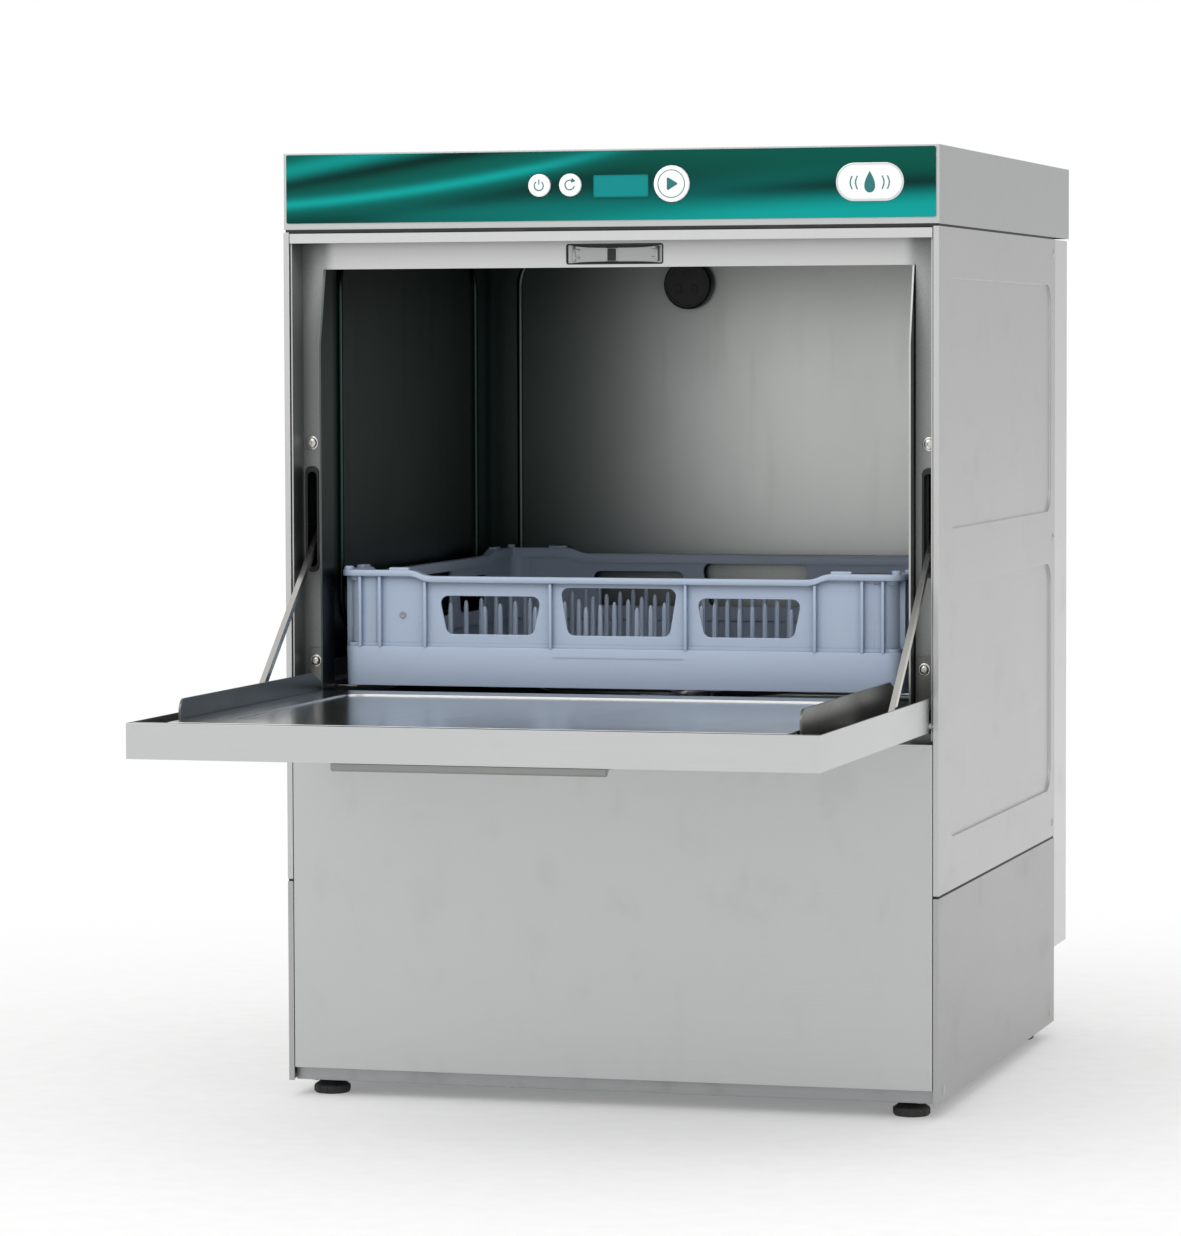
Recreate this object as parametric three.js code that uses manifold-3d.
// Underbench commercial dishwasher with a drop-down door, drawn open with its rack pushed in.
// Millimetres, +Z up. The machine is drawn with its front at y = 0 and the floor at z = 0, and the
// outermost group then moves it so that the origin is at the bottom centre of the whole object.
import * as THREE from 'three';
import { mergeVertices } from 'three/addons/utils/BufferGeometryUtils.js';
import Module from 'manifold-3d';

const wasm = await Module();
wasm.setup();

// ---------------------------------------------------------------- driving dimensions
const WIDTH = 575;
const HEIGHT = 815;
const HOOD_DEPTH = 602;
const BODY_DEPTH = 531;
const DOOR_REACH = 400;
const SHEET = 1.5;

const HALF = WIDTH / 2;
const HOOD_BOTTOM = 749.5;
const PANEL_TOP = 747.5;
const SKIRT_TOP = 187;
const PANEL_BOTTOM = 189;
const SKIRT_BOTTOM = 13.5;
const HEM = 5;
const RECESS = 30;
const OPENING_HALF = 259;
const OPENING_TOP = 717;
const OPENING_BOTTOM = 337;

const TANK = { half: 268, front: 44, back: 534, floor: 264, ceiling: 785 };
const SUMP = { half: 85, front: 199, back: 369, floor: 223.5 };
const SPIN_Y = 284;
const SPINDLE_R = 12;

const HINGE_Y = 5.25;
const HINGE_Z = 331.25;
const DOOR_HALF = 279.4;
const DOOR_OUT = -5.25;
const DOOR_RIM = 23.25;
const DOOR_NEAR = 6.75;
const DOOR_FAR = DOOR_REACH + HINGE_Y;
const DOOR_FLAT = 23;
const GUIDE_HALF = 252;
const GUIDE_TOP = 39;
const PIN_R = 3;

const STAY = { out: 132, up: 11, x: 273, angle: 40, length: 232, springLength: 200 };

const RACK = { half: 250, front: 33, back: 532, bottom: 356, step: 390, top: 456 };
const FOOT = { x: 258, front: 30, back: 500, padR: 15.5 };
const BUTTON_Z = 785;
const BUTTONS = [
  { name: 'power_button', x: -57.5, r: 9.8 },
  { name: 'cycle_button', x: -30.3, r: 9.8 },
  { name: 'start_button', x: 58.5, r: 15.6 },
];
const DISPLAY = { left: -10.5, right: 38.3, bottom: 774.3, top: 793.5 };

// ---------------------------------------------------------------- materials
function finish(color, roughness, metalness) {
  return new THREE.MeshStandardMaterial({ color, roughness, metalness });
}

const STEEL = finish(0xb9b9b6, 0.35, 1.0);
const BRIGHT_STEEL = finish(0xc8c8c6, 0.2, 1.0);
const DARK_STEEL = finish(0x555a58, 0.4, 1.0);
const GREEN = finish(0x0b6a5c, 0.25, 0.0);
const TEAL = finish(0x159b9b, 0.15, 0.0);
const WHITE = finish(0xf1f3f3, 0.4, 0.0);
const BLUE = finish(0x9fb2cc, 0.5, 0.0);
const BLACK = finish(0x202322, 0.55, 0.0);
const GREY = finish(0x8c9092, 0.55, 0.0);
const BRASS = finish(0xb59a4c, 0.35, 1.0);
const BOARD = finish(0x1e5a34, 0.6, 0.0);

// ---------------------------------------------------------------- solid helpers
function asSolid(shape) {
  if (!shape.isBufferGeometry) return shape;
  const bare = shape.clone();
  bare.deleteAttribute('normal');
  bare.deleteAttribute('uv');
  const merged = mergeVertices(bare, 1e-4);
  return new wasm.Manifold(new wasm.Mesh({
    numProp: 3,
    vertProperties: new Float32Array(merged.attributes.position.array),
    triVerts: new Uint32Array(merged.index.array),
  }));
}

function join(...shapes) {
  return shapes.map(asSolid).reduce((whole, next) => whole.add(next));
}

function cut(base, ...tools) {
  return tools.map(asSolid).reduce((whole, tool) => whole.subtract(tool), asSolid(base));
}

function asGeometry(solid) {
  if (solid.isBufferGeometry) return solid;
  const mesh = solid.getMesh();
  const geometry = new THREE.BufferGeometry();
  geometry.setAttribute('position', new THREE.BufferAttribute(new Float32Array(mesh.vertProperties), 3));
  geometry.setIndex(new THREE.BufferAttribute(new Uint32Array(mesh.triVerts), 1));
  geometry.computeVertexNormals();
  return geometry;
}

// a box between two corners
function block(x0, x1, y0, y1, z0, z1) {
  const box = new THREE.BoxGeometry(x1 - x0, y1 - y0, z1 - z0);
  return box.translate((x0 + x1) / 2, (y0 + y1) / 2, (z0 + z1) / 2);
}

// a block on the right (side 1) or its mirror image on the left (side -1)
function sideBlock(side, x0, x1, y0, y1, z0, z1) {
  return side > 0 ? block(x0, x1, y0, y1, z0, z1) : block(-x1, -x0, y0, y1, z0, z1);
}

const TURN = { x: [0, 0, -Math.PI / 2], y: [0, 0, 0], z: [Math.PI / 2, 0, 0] };

// a cylinder along one axis, starting at a point
function rod(axis, radius, [x, y, z], length, sides = 20) {
  const bar = new THREE.CylinderGeometry(radius, radius, length, sides).translate(0, length / 2, 0);
  bar.rotateX(TURN[axis][0]).rotateZ(TURN[axis][2]);
  return bar.translate(x, y, z);
}

// a flat outline swept along one axis; its points are (y, z), (x, z) or (x, y)
function prism(axis, outline, from, to, curveSegments = 4) {
  const corners = Array.isArray(outline) && outline.map(([u, v]) => new THREE.Vector2(u, v));
  const shape = corners ? new THREE.Shape(corners) : outline;
  const slab = new THREE.ExtrudeGeometry(shape, { depth: to - from, bevelEnabled: false, curveSegments });
  slab.translate(0, 0, from);
  if (axis === 'x') slab.rotateX(Math.PI / 2).rotateZ(Math.PI / 2);
  if (axis === 'y') slab.translate(0, 0, -from - to).rotateX(Math.PI / 2);
  return slab;
}

function roundedOutline(u0, u1, v0, v1, radius) {
  const shape = new THREE.Shape();
  shape.moveTo(u0 + radius, v0);
  shape.absarc(u1 - radius, v0 + radius, radius, -Math.PI / 2, 0);
  shape.absarc(u1 - radius, v1 - radius, radius, 0, Math.PI / 2);
  shape.absarc(u0 + radius, v1 - radius, radius, Math.PI / 2, Math.PI);
  shape.absarc(u0 + radius, v0 + radius, radius, Math.PI, 1.5 * Math.PI);
  return shape;
}

// a round bar along a smooth path, with its ring drawn in halves of so many flats
function tube(points, radius, steps, flats = 4) {
  const ring = new THREE.Shape().absarc(0, 0, radius, 0, 2 * Math.PI);
  const stops = points.map(([x, y, z]) => new THREE.Vector3(x, y, z));
  const extrudePath = new THREE.CatmullRomCurve3(stops, false, 'centripetal');
  return new THREE.ExtrudeGeometry(ring, { steps, extrudePath, curveSegments: flats, bevelEnabled: false });
}

function turned(profile, sides = 24) {
  const lathe = new THREE.LatheGeometry(profile.map(([r, h]) => new THREE.Vector2(r, h)), sides);
  return lathe.rotateX(Math.PI / 2);
}

function piece(name, shape, material, [x, y, z] = [0, 0, 0]) {
  const mesh = new THREE.Mesh(asGeometry(shape), material);
  mesh.name = name;
  mesh.position.set(x, y, z);
  return mesh;
}

function sideName(side) {
  return side > 0 ? 'right' : 'left';
}

// ---------------------------------------------------------------- outer casing
function hoodCover() {
  const shell = cut(
    block(-HALF, HALF, SHEET, HOOD_DEPTH, HOOD_BOTTOM, HEIGHT),
    block(-HALF + SHEET, HALF - SHEET, 2 * SHEET, HOOD_DEPTH - SHEET, HOOD_BOTTOM - 1, HEIGHT - SHEET),
  );
  const holes = BUTTONS.map(({ x, r }) => rod('y', r + 0.5, [x, 0, BUTTON_Z], 6));
  const window = block(DISPLAY.left - 0.5, DISPLAY.right + 0.5, 0, 6, DISPLAY.bottom - 0.5, DISPLAY.top + 0.5);
  return cut(shell, window, ...holes);
}

function fasciaPanel() {
  const sheet = prism('y', roundedOutline(-284.6, 284.6, 755, 813.5, 1.5), 0, 1.2, 2);
  const holes = BUTTONS.map(({ x, r }) => rod('y', r + 0.5, [x, -1, BUTTON_Z], 6));
  const window = block(DISPLAY.left - 0.4, DISPLAY.right + 0.4, -1, 6, DISPLAY.bottom - 0.4, DISPLAY.top + 0.4);
  return cut(sheet, window, ...holes);
}

// a sheet side with a hem round its front edge and a turned-in rear edge
function sideSheet(side, bottom, top) {
  const section = [[HALF, 0], [HALF, BODY_DEPTH], [HALF - 14, BODY_DEPTH], [HALF - 14, BODY_DEPTH - SHEET],
    [HALF - SHEET, BODY_DEPTH - SHEET], [HALF - SHEET, SHEET], [HALF - HEM, SHEET], [HALF - HEM, 0]];
  return prism('z', section.map(([x, y]) => [side * x, y]), bottom, top);
}

const EMBOSS = { front: 40, back: 514, radius: 22, depth: 2.5, heights: [[234, 446], [494.5, 705]] };

function sidePanel(side) {
  const inner = HALF - SHEET - EMBOSS.depth;
  const span = (from, to) => (side > 0 ? [from, to] : [-to, -from]);
  const { front, back, radius, heights } = EMBOSS;
  const pans = heights.map(([low, high]) => roundedOutline(front, back, low, high, radius));
  const backs = heights.map(([low, high]) => roundedOutline(
    front - SHEET, back + SHEET, low - SHEET, high + SHEET, radius + SHEET));
  const sheet = join(sideSheet(side, PANEL_BOTTOM, PANEL_TOP),
    ...backs.map((outline) => prism('x', outline, ...span(inner, HALF - 0.5))));
  return cut(sheet, ...pans.map((outline) => prism('x', outline, ...span(inner + SHEET, HALF + 1))));
}

function frontLowerPanel() {
  return cut(
    block(-282, 282, 0, 7.5, 25, 316),
    block(-280.5, 280.5, SHEET, 9, 26.5, 314.5),
  );
}

function rearCover() {
  return cut(
    block(-286, 286, BODY_DEPTH + 2, HOOD_DEPTH - 2, 82.5, PANEL_TOP),
    block(-284.5, 284.5, BODY_DEPTH, HOOD_DEPTH - 2 - SHEET, 84, PANEL_TOP + 1),
  );
}

const REAR_PORTS = { gland: [0, 58], drain: [-150, 58], inlet: [150, 58], y: 527 };

function rearLowerPanel() {
  const sheet = block(-284, 284, REAR_PORTS.y, REAR_PORTS.y + SHEET, 33, 200);
  const hole = ([x, z], r) => rod('y', r, [x, REAR_PORTS.y - 5, z], 12);
  return cut(sheet, hole(REAR_PORTS.gland, 10.5), hole(REAR_PORTS.drain, 17.5), hole(REAR_PORTS.inlet, 13.5));
}

function basePan() {
  const tray = cut(
    block(-283, 283, 8, 528, SKIRT_BOTTOM, 32),
    block(-281.5, 281.5, 9.5, 526.5, SKIRT_BOTTOM + 2, 40),
  );
  const holes = [];
  for (const x of [-FOOT.x, FOOT.x]) {
    for (const y of [FOOT.front, FOOT.back]) holes.push(rod('z', 6, [x, y, SKIRT_BOTTOM - 2], 8));
  }
  return cut(tray, ...holes);
}

function foot() {
  const pad = [[0, 0], [FOOT.padR - 1, 0], [FOOT.padR, 1.5], [FOOT.padR, 7]];
  const screw = [[10, 11], [5.5, 12], [5.5, 40], [0, 40]];
  return turned([...pad, ...screw], 18);
}

// ---------------------------------------------------------------- front frame and hinges
const SLOT = { inner: 268.5, outer: 277.5, bottom: 458, top: 542 };
const LATCH = { half: 42, bottom: 719, top: 735.5, y: RECESS + 1.9 };

// joined parts share no plane: each is drawn a little inside the face it runs into
function frontFrame() {
  const top = 746.5;
  const inside = RECESS + SHEET / 2;
  const face = cut(
    block(-282, 282, RECESS, RECESS + SHEET, PANEL_BOTTOM, top),
    block(-261.5, 261.5, RECESS - 1, RECESS + 3, OPENING_BOTTOM - 2, OPENING_TOP - 1),
    block(-261.5, 261.5, RECESS - 1, RECESS + 3, PANEL_BOTTOM - 1, 292),
  );
  const header = [[0, 738], [SHEET, 738], [SHEET, top - SHEET],
    [inside, top - SHEET], [inside, top - 0.3], [0, top - 0.3]];
  const bars = [prism('x', header, -281.9, 281.9)];
  const openings = [block(-LATCH.half, LATCH.half, RECESS - 2, RECESS + 4, LATCH.bottom, LATCH.top)];
  for (const side of [-1, 1]) {
    bars.push(sideBlock(side, 280.5, 281.8, 2, inside, 319, top - 0.9));
    bars.push(sideBlock(side, 280.6, 281.7, 20, inside - 0.1, PANEL_BOTTOM + 0.2, 325));
    openings.push(prism('y', side > 0
      ? roundedOutline(SLOT.inner, SLOT.outer, SLOT.bottom, SLOT.top, 4)
      : roundedOutline(-SLOT.outer, -SLOT.inner, SLOT.bottom, SLOT.top, 4), RECESS - 2, RECESS + 4));
    openings.push(rod('x', PIN_R + 0.3, [side > 0 ? 279 : -283, HINGE_Y, HINGE_Z], 4));
  }
  return cut(join(face, ...bars), ...openings);
}

function latchPlate() {
  const outline = roundedOutline(-LATCH.half - 3, LATCH.half + 3, LATCH.bottom - 0.3, LATCH.top + 3, 3);
  const plate = prism('y', outline, LATCH.y, LATCH.y + 5, 3);
  return cut(plate, block(-8, 0.5, LATCH.y - 1, LATCH.y + 4, 720.8, 733.5),
    rod('z', 60, [0, LATCH.y - 58.4, LATCH.bottom - 5], 30, 48));
}

function hingeBracket(side) {
  const root = [[29.3, 323], [29.3, 350], [11, 337.3]];
  const nose = [[HINGE_Y, 337.3], [0, 334], [-0.6, HINGE_Z], [0, 328], [HINGE_Y, 325.3]];
  const left = side > 0 ? 273.4 : -275.6;
  const cheek = prism('x', [...root, ...nose], left, left + 2.2);
  const plate = sideBlock(side, 263, 275.9, 27, 29.6, 322, 388);
  return cut(join(plate, cheek), rod('x', PIN_R + 0.3, [side > 0 ? 270 : -279, HINGE_Y, HINGE_Z], 9));
}

function hingePin(side) {
  return join(
    rod('x', PIN_R, [side > 0 ? 270.9 : -284, HINGE_Y, HINGE_Z], 13.1),
    rod('x', PIN_R + 2, [side > 0 ? 270.9 : -273, HINGE_Y, HINGE_Z], 2.1, 6),
  );
}

// ---------------------------------------------------------------- wash tank and what it holds
function washTank() {
  const t = SHEET;
  const mouth = OPENING_HALF + t;
  const outer = join(
    block(-TANK.half - t, TANK.half + t, TANK.front, TANK.back + t, TANK.floor - t, TANK.ceiling + t),
    block(-SUMP.half - t, SUMP.half + t, SUMP.front - t, SUMP.back + t, SUMP.floor - t, TANK.floor),
    block(-mouth, mouth, RECESS + 4, TANK.front + 1, OPENING_BOTTOM - t, OPENING_TOP + t - 0.4),
    tankLip(-1),
    tankLip(1),
  );
  return cut(outer,
    block(-TANK.half, TANK.half, TANK.front + t, TANK.back, TANK.floor, TANK.ceiling),
    block(-SUMP.half, SUMP.half, SUMP.front, SUMP.back, SUMP.floor, TANK.floor + 1),
    block(-OPENING_HALF, OPENING_HALF, -5, TANK.front + 5, OPENING_BOTTOM, OPENING_TOP),
    rod('z', SPINDLE_R + 0.4, [0, SPIN_Y, SUMP.floor - 5], 10),
    rod('z', SPINDLE_R + 0.4, [0, SPIN_Y, TANK.ceiling - 5], 10));
}

// the tank's side wall runs forward past the frame, with its upper corner cut back
function tankLip(side) {
  const outline = [[45, 338], [45, 716], [29, 716], [14, 650], [14, 345], [29, 338]];
  const left = side > 0 ? OPENING_HALF : -OPENING_HALF - SHEET;
  return prism('x', outline, left, left + SHEET);
}

function tankRail(side) {
  return join(
    sideBlock(side, 240, 267.5, 50, 530, 353.5, 355),
    sideBlock(side, 266, 267.5, 50, 530, 340, 376),
  );
}

const FILTER = { z: 294, hole: 60 };
const STANDPIPE = { x: 225, y: 490 };

function filterPlate(side) {
  const plate = sideBlock(side, 0.4, 266.5, 47, 532, FILTER.z, FILTER.z + SHEET);
  return cut(plate, rod('z', FILTER.hole, [0, SPIN_Y, FILTER.z - 2], 6, 32),
    rod('z', 16, [STANDPIPE.x, STANDPIPE.y, FILTER.z - 2], 6));
}

function sumpStrainer() {
  const basket = join(
    rod('z', 57, [0, SPIN_Y, 232], 66, 28),
    rod('z', 66, [0, SPIN_Y, FILTER.z + 2], 2, 28),
  );
  return cut(basket, rod('z', 55.5, [0, SPIN_Y, 233.5], 80, 28), rod('z', 14, [0, SPIN_Y, 225], 20));
}

function standpipe() {
  const { x, y } = STANDPIPE;
  return cut(rod('z', 13, [x, y, 265], 70), rod('z', 10.5, [x, y, 270], 70));
}

function tankHeater() {
  const loop = tube([[-210, 80, 278], [-210, 300, 278], [-210, 440, 278], [-200, 466, 278], [-180, 476, 278],
    [-160, 466, 278], [-150, 440, 278], [-150, 300, 278], [-150, 80, 278]], 4.5, 22, 4);
  return join(loop, block(-226, -134, 70, 84, 265, 291));
}

function ventCap() {
  const cap = turned([[0, 0], [23.5, 0], [23.5, 9], [21.5, 11.5], [0, 11.5]], 28);
  return cap.rotateX(Math.PI / 2);
}

// an arm in plan: a bar that narrows to round tips, with a round hub
function armPlan(reach, wide, tip) {
  const shape = new THREE.Shape();
  shape.moveTo(-reach + tip, -tip);
  shape.lineTo(0, -wide);
  shape.lineTo(reach - tip, -tip);
  shape.absarc(reach - tip, 0, tip, -Math.PI / 2, Math.PI / 2);
  shape.lineTo(0, wide);
  shape.lineTo(-reach + tip, tip);
  shape.absarc(-reach + tip, 0, tip, Math.PI / 2, 1.5 * Math.PI);
  return shape;
}

// up is 1 for an arm that sprays upwards and -1 for one that sprays down
function sprayArm({ reach, wide, tip, thick, hub, nozzles, up }) {
  const parts = [prism('z', armPlan(reach, wide, tip), 0, thick, 3), rod('z', hub, [0, 0, -2], thick + 4)];
  for (let i = 1; i <= nozzles; i += 1) {
    const x = 30 + (i * (reach - 48)) / nozzles;
    for (const end of [-1, 1]) parts.push(rod('z', 4, [end * x, 0, up > 0 ? thick - 1 : -1.5], 2.5, 8));
  }
  return cut(join(...parts), rod('z', SPINDLE_R + 0.4, [0, 0, -10], thick + 20));
}

const WASH_ARM = { reach: 228, wide: 20, tip: 13, thick: 13, hub: 30, nozzles: 4 };
const RINSE_ARM = { reach: 214, wide: 9, tip: 6, thick: 8, hub: 20, nozzles: 5 };

// a spindle with a hexagon nut at its free end
function spindle(from, to, nutAt) {
  return join(rod('z', SPINDLE_R, [0, 0, from], to - from), rod('z', 17, [0, 0, nutAt], 6, 6));
}

// ---------------------------------------------------------------- door, drawn about its hinge axis
// y runs back towards the machine, so the door lies at negative y; z is up
function doorSkin() {
  const far = -DOOR_FAR;
  const near = -DOOR_NEAR;
  const tray = cut(
    block(-DOOR_HALF, DOOR_HALF, far, near, DOOR_OUT, DOOR_RIM),
    block(-DOOR_HALF + SHEET, DOOR_HALF - SHEET, far + SHEET, near - SHEET, DOOR_OUT + SHEET, DOOR_RIM + 5),
    block(-277.5, 277.5, near - 2, near + 1, 14, DOOR_RIM + 5),
    block(260, 277.5, near - 2, near + 1, DOOR_OUT + 1.8, 16),
    block(-277.5, -260, near - 2, near + 1, DOOR_OUT + 1.8, 16),
  );
  const parts = [block(-278.6, 278.6, far + 0.7, far + 13, DOOR_RIM - SHEET, DOOR_RIM - 0.3)];
  const holes = [];
  for (const side of [-1, 1]) {
    const [low, high] = [DOOR_HALF - SHEET + 0.1, DOOR_HALF - 0.2];
    parts.push(prism('x', hingeLug(), side > 0 ? low : -high, side > 0 ? high : -low));
    holes.push(rod('x', PIN_R + 0.3, [side > 0 ? 276 : -282, 0, 0], 6));
  }
  return cut(join(tray, ...parts), ...holes);
}

function hingeLug() {
  const shape = new THREE.Shape();
  shape.moveTo(-30, -5);
  shape.lineTo(0, -5);
  shape.absarc(0, 0, 5, -Math.PI / 2, Math.PI / 2);
  shape.lineTo(-30, 5);
  return shape;
}

function doorInnerPanel() {
  const far = -388;
  const near = -14;
  const half = 251;
  const tray = cut(
    block(-half, half, far, near, DOOR_OUT + SHEET + 0.5, DOOR_FLAT),
    block(-half + SHEET, half - SHEET, far + SHEET, near - SHEET, -8, DOOR_FLAT - SHEET),
  );
  const well = prism('z', roundedOutline(-215, 215, far + 40, near - 40, 18), DOOR_FLAT - 1.2, DOOR_FLAT + 2);
  const back = prism('z', roundedOutline(-216, 216, far + 39, near - 39, 19), DOOR_FLAT - 2.7, DOOR_FLAT - 1);
  return cut(join(tray, back), well);
}

function rackGuide(side) {
  const shape = new THREE.Shape();
  shape.moveTo(-14, DOOR_OUT + 2.2);
  shape.lineTo(-14, 30);
  shape.lineTo(-40, GUIDE_TOP);
  shape.lineTo(-346, GUIDE_TOP);
  shape.absarc(-346, GUIDE_TOP - 10, 10, Math.PI / 2, Math.PI);
  shape.lineTo(-356, DOOR_OUT + 2.2);
  const left = side > 0 ? GUIDE_HALF : -GUIDE_HALF - 2;
  return prism('x', shape, left, left + 2);
}

function gripHandle() {
  const under = DOOR_OUT - 0.4;
  const lip = [[-403, under], [-403, -10.5], [-400, -12], [-396, -10.5]];
  const outline = [...lip, [-394, -7.5], [-372, -6.8], [-370, under]];
  return prism('x', outline, -111, 111);
}

// a flat stay with an eye and a pivot pin, drawn about the pin and rising to the rear
function stayRod(side) {
  const bar = block(-2.5, 2.5, 0, STAY.length, -3, 3).rotateX(THREE.MathUtils.degToRad(STAY.angle));
  const eye = rod('x', 6, [-2.5, 0, 0], 5, 16);
  const pin = rod('x', PIN_R, [side > 0 ? -7 : -4.5, 0, 0], 11.5, 16);
  return join(bar, eye, pin);
}

function staySpring() {
  const turns = 7;
  const perTurn = 6;
  const helix = [];
  for (let i = 0; i <= turns * perTurn; i += 1) {
    const angle = (i / perTurn) * 2 * Math.PI;
    helix.push([4 * Math.cos(angle), (i * STAY.springLength) / (turns * perTurn), 4 * Math.sin(angle)]);
  }
  return tube(helix, 0.9, turns * perTurn, 2);
}

// ---------------------------------------------------------------- dish rack, drawn about its bottom centre
const RACK_HALF_D = (RACK.back - RACK.front) / 2;
const RACK_H = RACK.top - RACK.bottom;
const RACK_STEP = RACK.step - RACK.bottom;

function frameBand(outset, wall, low, high, radius) {
  const half = RACK.half - outset;
  const deep = RACK_HALF_D - outset;
  const [inHalf, inDeep] = [half - wall, deep - wall];
  return cut(
    prism('z', roundedOutline(-half, half, -deep, deep, radius), low, high, 3),
    prism('z', roundedOutline(-inHalf, inHalf, -inDeep, inDeep, Math.max(radius - wall, 1)), low - 1, high + 1, 3),
  );
}

function rackWindow(centre, halfTop, low, high) {
  const halfBottom = halfTop - 8;
  return [[centre - halfBottom, low], [centre + halfBottom, low],
    [centre + halfTop, high], [centre - halfTop, high]];
}

function dishRack() {
  const solids = [
    frameBand(3, 3, 0, RACK_STEP - 0.8, 10),
    frameBand(3.6, 5.5, RACK_STEP - 3, RACK_STEP, 10),
    frameBand(7, 2.6, RACK_STEP - 1, RACK_H - 1, 8),
    frameBand(0, 8.8, RACK_H - 6, RACK_H, 12),
  ];
  const cuts = [];
  for (const u of [-214, -173, -60, 60, 173, 214]) {
    for (const side of [-1, 1]) {
      const near = side > 0 ? [RACK_HALF_D - 8, RACK_HALF_D - 2] : [-RACK_HALF_D + 2, -RACK_HALF_D + 8];
      const wide = side > 0 ? [RACK.half - 8, RACK.half - 2] : [-RACK.half + 2, -RACK.half + 8];
      solids.push(block(u - 1.3, u + 1.3, ...near, RACK_STEP - 0.7, RACK_H - 1.5));
      solids.push(block(...wide, u - 1.3, u + 1.3, RACK_STEP - 0.7, RACK_H - 1.5));
    }
  }
  for (const [centre, high] of [[-115, 78], [0, 86], [115, 78]]) {
    const outline = rackWindow(centre, centre === 0 ? 52 : 46, 45, high);
    cuts.push(prism('y', outline, -RACK_HALF_D - 5, RACK_HALF_D + 5));
    cuts.push(prism('x', outline, -RACK.half - 5, RACK.half + 5));
  }
  return join(cut(join(...solids), ...cuts), ...rackFloor());
}

// an open floor of crossed bars, with rows of plate pegs standing on the bars that run across
function rackFloor() {
  const pitch = 92;
  const lines = [-2, -1, 0, 1, 2];
  const bars = [];
  for (const i of lines) {
    bars.push(block(-RACK.half + 4.5, RACK.half - 4.5, i * pitch - 2.5, i * pitch + 2.5, 1, 6));
    bars.push(block(i * pitch - 2, i * pitch + 2, -RACK_HALF_D + 4.5, RACK_HALF_D - 4.5, 1.5, 5.5));
  }
  for (const i of lines) {
    for (const x of [-150, -50, 50, 150]) {
      bars.push(new THREE.CylinderGeometry(1.8, 3, 62, 4).rotateX(Math.PI / 2).translate(x, i * pitch, 36.5));
    }
  }
  return bars;
}

// ---------------------------------------------------------------- machinery under and behind the tank
function washPump() {
  return join(
    rod('x', 52, [-205, 300, 88], 140, 24),
    rod('x', 30, [-215, 300, 88], 170, 16),
    rod('x', 62, [-60, 300, 88], 46, 24),
    rod('z', 17, [-37, 336, 88], 92, 16),
    block(-190, -100, 262, 338, 18, 40),
  );
}

function riserHose() {
  const fromPump = [[-37, 336, 182], [-37, 337, 200], [-37, 400, 214], [-37, 520, 218]];
  const upTheBack = [[-37, 556, 236], [-37, 566, 300], [-37, 566, 520], [-37, 566, 740], [-36, 563, 778]];
  const overTheTank = [[-32, 544, 800], [-28, 510, 801], [-14, 420, 801], [-3, 320, 801], [0, 300, 801]];
  return tube([...fromPump, ...upTheBack, ...overTheTank], 10, 28, 4);
}

function booster() {
  const shell = join(
    rod('y', 78, [160, 150, 118], 300, 24),
    rod('y', 70, [160, 143, 118], 312, 24),
    rod('z', 8, [160, 420, 118], 96, 12),
    block(100, 220, 190, 220, 18, 60),
    block(100, 220, 380, 410, 18, 60),
  );
  return cut(shell, rod('y', 66, [160, 152, 118], 296, 24), rod('z', 6, [160, 420, 118], 110, 12));
}

function boosterHeater() {
  const parts = [rod('y', 48, [160, 128, 118], 14, 24)];
  for (const [dx, dz] of [[-24, 0], [24, 0], [0, 24], [0, -24], [0, 0]]) {
    parts.push(rod('y', 5, [160 + dx, 108, 118 + dz], 22, 8));
  }
  return join(...parts);
}

function drainPump() {
  return join(
    rod('z', 34, [-180, 440, 22], 60),
    rod('z', 24, [-180, 440, 80], 50, 16),
    rod('y', 12, [-150, 440, 50], 60, 16),
    block(-185, -150, 428, 452, 40, 60),
  );
}

function dosingPump() {
  return join(
    block(-250, -170, 60, 120, 60, 150),
    rod('y', 26, [-210, 38, 108], 24, 24),
    block(-262, -158, 118, 124, 50, 160),
  );
}

function inletValve() {
  const [x, z] = REAR_PORTS.inlet;
  return join(
    block(x - 22, x + 22, 478, 516, z - 18, z + 18),
    rod('z', 15, [x, 492, z + 16], 46, 20),
    rod('y', 13, [x, 514, z], 44, 20),
    rod('y', 16, [x, 530, z], 5, 6),
  );
}

function drainSpigot() {
  const [x, z] = REAR_PORTS.drain;
  return cut(
    join(rod('y', 17, [x, 504, z], 66, 24), rod('y', 22, [x, 530, z], 4, 24)),
    rod('y', 13, [x, 508, z], 70, 24),
  );
}

function cableGland() {
  const [x, z] = REAR_PORTS.gland;
  return join(
    rod('y', 10, [x, 505, z], 50, 20),
    rod('y', 14, [x, 530, z], 10, 6),
    rod('y', 5, [x, 550, z], 45, 14),
  );
}

function controlBoard() {
  const parts = [block(-95, 95, 14, 16, 762, 808)];
  for (const x of [-70, -38, 30, 76]) parts.push(block(x - 8, x + 8, 15.5, 25, 770, 796));
  parts.push(block(DISPLAY.left - 3, DISPLAY.right + 3, 5, 14.5, DISPLAY.bottom - 3, DISPLAY.top + 3));
  return join(...parts);
}

function pushButton(radius) {
  const face = [[0, 0], [radius - 1.4, 0], [radius - 0.3, 0.6], [radius, 1.4]];
  const stem = [[radius, 5], [3, 5], [3, 9], [0, 9]];
  return turned([...face, ...stem], 24).rotateX(-Math.PI / 2);
}

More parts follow.
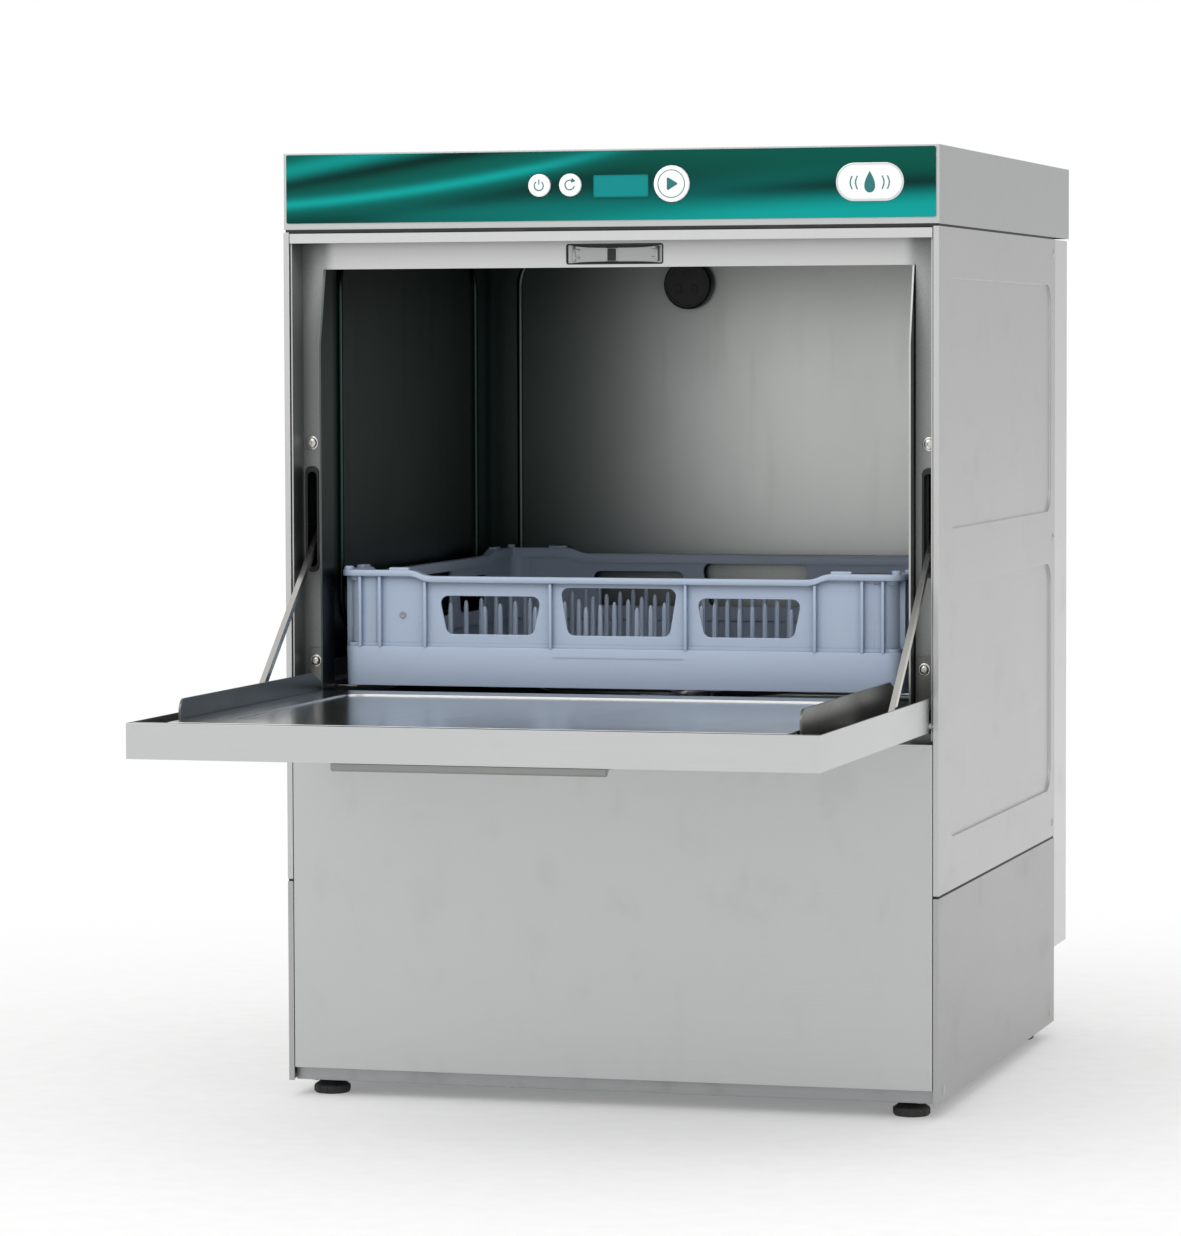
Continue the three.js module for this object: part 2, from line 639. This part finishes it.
// ---------------------------------------------------------------- assembly
function casing() {
  const group = new THREE.Group();
  group.add(
    piece('hood_cover', hoodCover(), STEEL),
    piece('fascia_panel', fasciaPanel(), GREEN),
    piece('display_window', block(DISPLAY.left, DISPLAY.right, 0.4, 4.4, DISPLAY.bottom, DISPLAY.top), TEAL),
    piece('front_lower_panel', frontLowerPanel(), STEEL),
    piece('rear_cover', rearCover(), GREY),
    piece('rear_lower_panel', rearLowerPanel(), STEEL),
    piece('base_pan', basePan(), STEEL),
  );
  for (const side of [-1, 1]) {
    group.add(piece(`${sideName(side)}_side_panel`, sidePanel(side), STEEL));
    group.add(piece(`${sideName(side)}_skirt_panel`, sideSheet(side, SKIRT_BOTTOM, SKIRT_TOP), STEEL));
    group.add(piece(`front_${sideName(side)}_foot`, foot(), BLACK, [side * FOOT.x, FOOT.front, 0]));
    group.add(piece(`rear_${sideName(side)}_foot`, foot(), BLACK, [side * FOOT.x, FOOT.back, 0]));
  }
  return group;
}

function controls() {
  const group = new THREE.Group();
  for (const { name, x, r } of BUTTONS) group.add(piece(name, pushButton(r), WHITE, [x, -2, BUTTON_Z]));
  group.add(piece('control_board', controlBoard(), BOARD));
  return group;
}

function frame() {
  const group = new THREE.Group();
  group.add(piece('front_frame', frontFrame(), STEEL), piece('latch_plate', latchPlate(), BRIGHT_STEEL));
  for (const side of [-1, 1]) {
    group.add(piece(`${sideName(side)}_hinge_bracket`, hingeBracket(side), DARK_STEEL));
    group.add(piece(`${sideName(side)}_hinge_pin`, hingePin(side), BRIGHT_STEEL));
    group.add(piece(`${sideName(side)}_stay_spring`, staySpring(), STEEL, [side * 276.5, 225, 640]));
  }
  return group;
}

function chamber() {
  const group = new THREE.Group();
  group.add(
    piece('wash_tank', washTank(), BRIGHT_STEEL),
    piece('sump_strainer', sumpStrainer(), STEEL),
    piece('overflow_standpipe', standpipe(), WHITE),
    piece('tank_heater', tankHeater(), DARK_STEEL),
    piece('vent_cap', ventCap(), BLACK, [-66, TANK.back - 0.4, 708]),
    piece('lower_spindle', spindle(206, 347, 341), BRIGHT_STEEL, [0, SPIN_Y, 0]),
    piece('upper_spindle', spindle(727, 788.5, 727), BRIGHT_STEEL, [0, SPIN_Y, 0]),
    piece('lower_wash_arm', sprayArm({ ...WASH_ARM, up: 1 }), BRIGHT_STEEL, [0, SPIN_Y, 309]),
    piece('upper_wash_arm', sprayArm({ ...WASH_ARM, up: -1 }), BRIGHT_STEEL, [0, SPIN_Y, 756]),
  );
  const rinseUp = sprayArm({ ...RINSE_ARM, up: 1 });
  const rinseDown = sprayArm({ ...RINSE_ARM, up: -1 });
  const lowerRinse = piece('lower_rinse_arm', rinseUp, BRIGHT_STEEL, [0, SPIN_Y, 328.5]);
  const upperRinse = piece('upper_rinse_arm', rinseDown, BRIGHT_STEEL, [0, SPIN_Y, 739]);
  lowerRinse.rotation.z = THREE.MathUtils.degToRad(62);
  upperRinse.rotation.z = THREE.MathUtils.degToRad(62);
  group.add(lowerRinse, upperRinse);
  for (const side of [-1, 1]) {
    group.add(piece(`${sideName(side)}_tank_rail`, tankRail(side), BRIGHT_STEEL));
    group.add(piece(`${sideName(side)}_filter_plate`, filterPlate(side), STEEL));
  }
  return group;
}

function door() {
  const group = new THREE.Group();
  group.position.set(0, HINGE_Y, HINGE_Z);
  group.add(
    piece('door_skin', doorSkin(), STEEL),
    piece('door_inner_panel', doorInnerPanel(), BRIGHT_STEEL),
    piece('door_handle', gripHandle(), STEEL),
  );
  for (const side of [-1, 1]) {
    group.add(piece(`${sideName(side)}_rack_guide`, rackGuide(side), DARK_STEEL));
    const pivot = [side * STAY.x, -STAY.out, STAY.up];
    group.add(piece(`${sideName(side)}_stay_rod`, stayRod(side), BRIGHT_STEEL, pivot));
  }
  return group;
}

function machinery() {
  const group = new THREE.Group();
  group.add(
    piece('wash_pump', washPump(), GREY),
    piece('riser_hose', riserHose(), BLACK),
    piece('rinse_booster', booster(), BRIGHT_STEEL),
    piece('booster_heater', boosterHeater(), BRASS),
    piece('drain_pump', drainPump(), BLACK),
    piece('dosing_pump', dosingPump(), GREY),
    piece('inlet_valve', inletValve(), BRASS),
    piece('drain_spigot', drainSpigot(), BLACK),
    piece('cable_gland', cableGland(), BLACK),
  );
  return group;
}

function rack() {
  return piece('dish_rack', dishRack(), BLUE, [0, (RACK.front + RACK.back) / 2, RACK.bottom]);
}

const dishwasher = new THREE.Group();
dishwasher.position.y = (DOOR_REACH - HOOD_DEPTH) / 2;
dishwasher.add(casing(), controls(), frame(), chamber(), door(), rack(), machinery());

export default dishwasher;
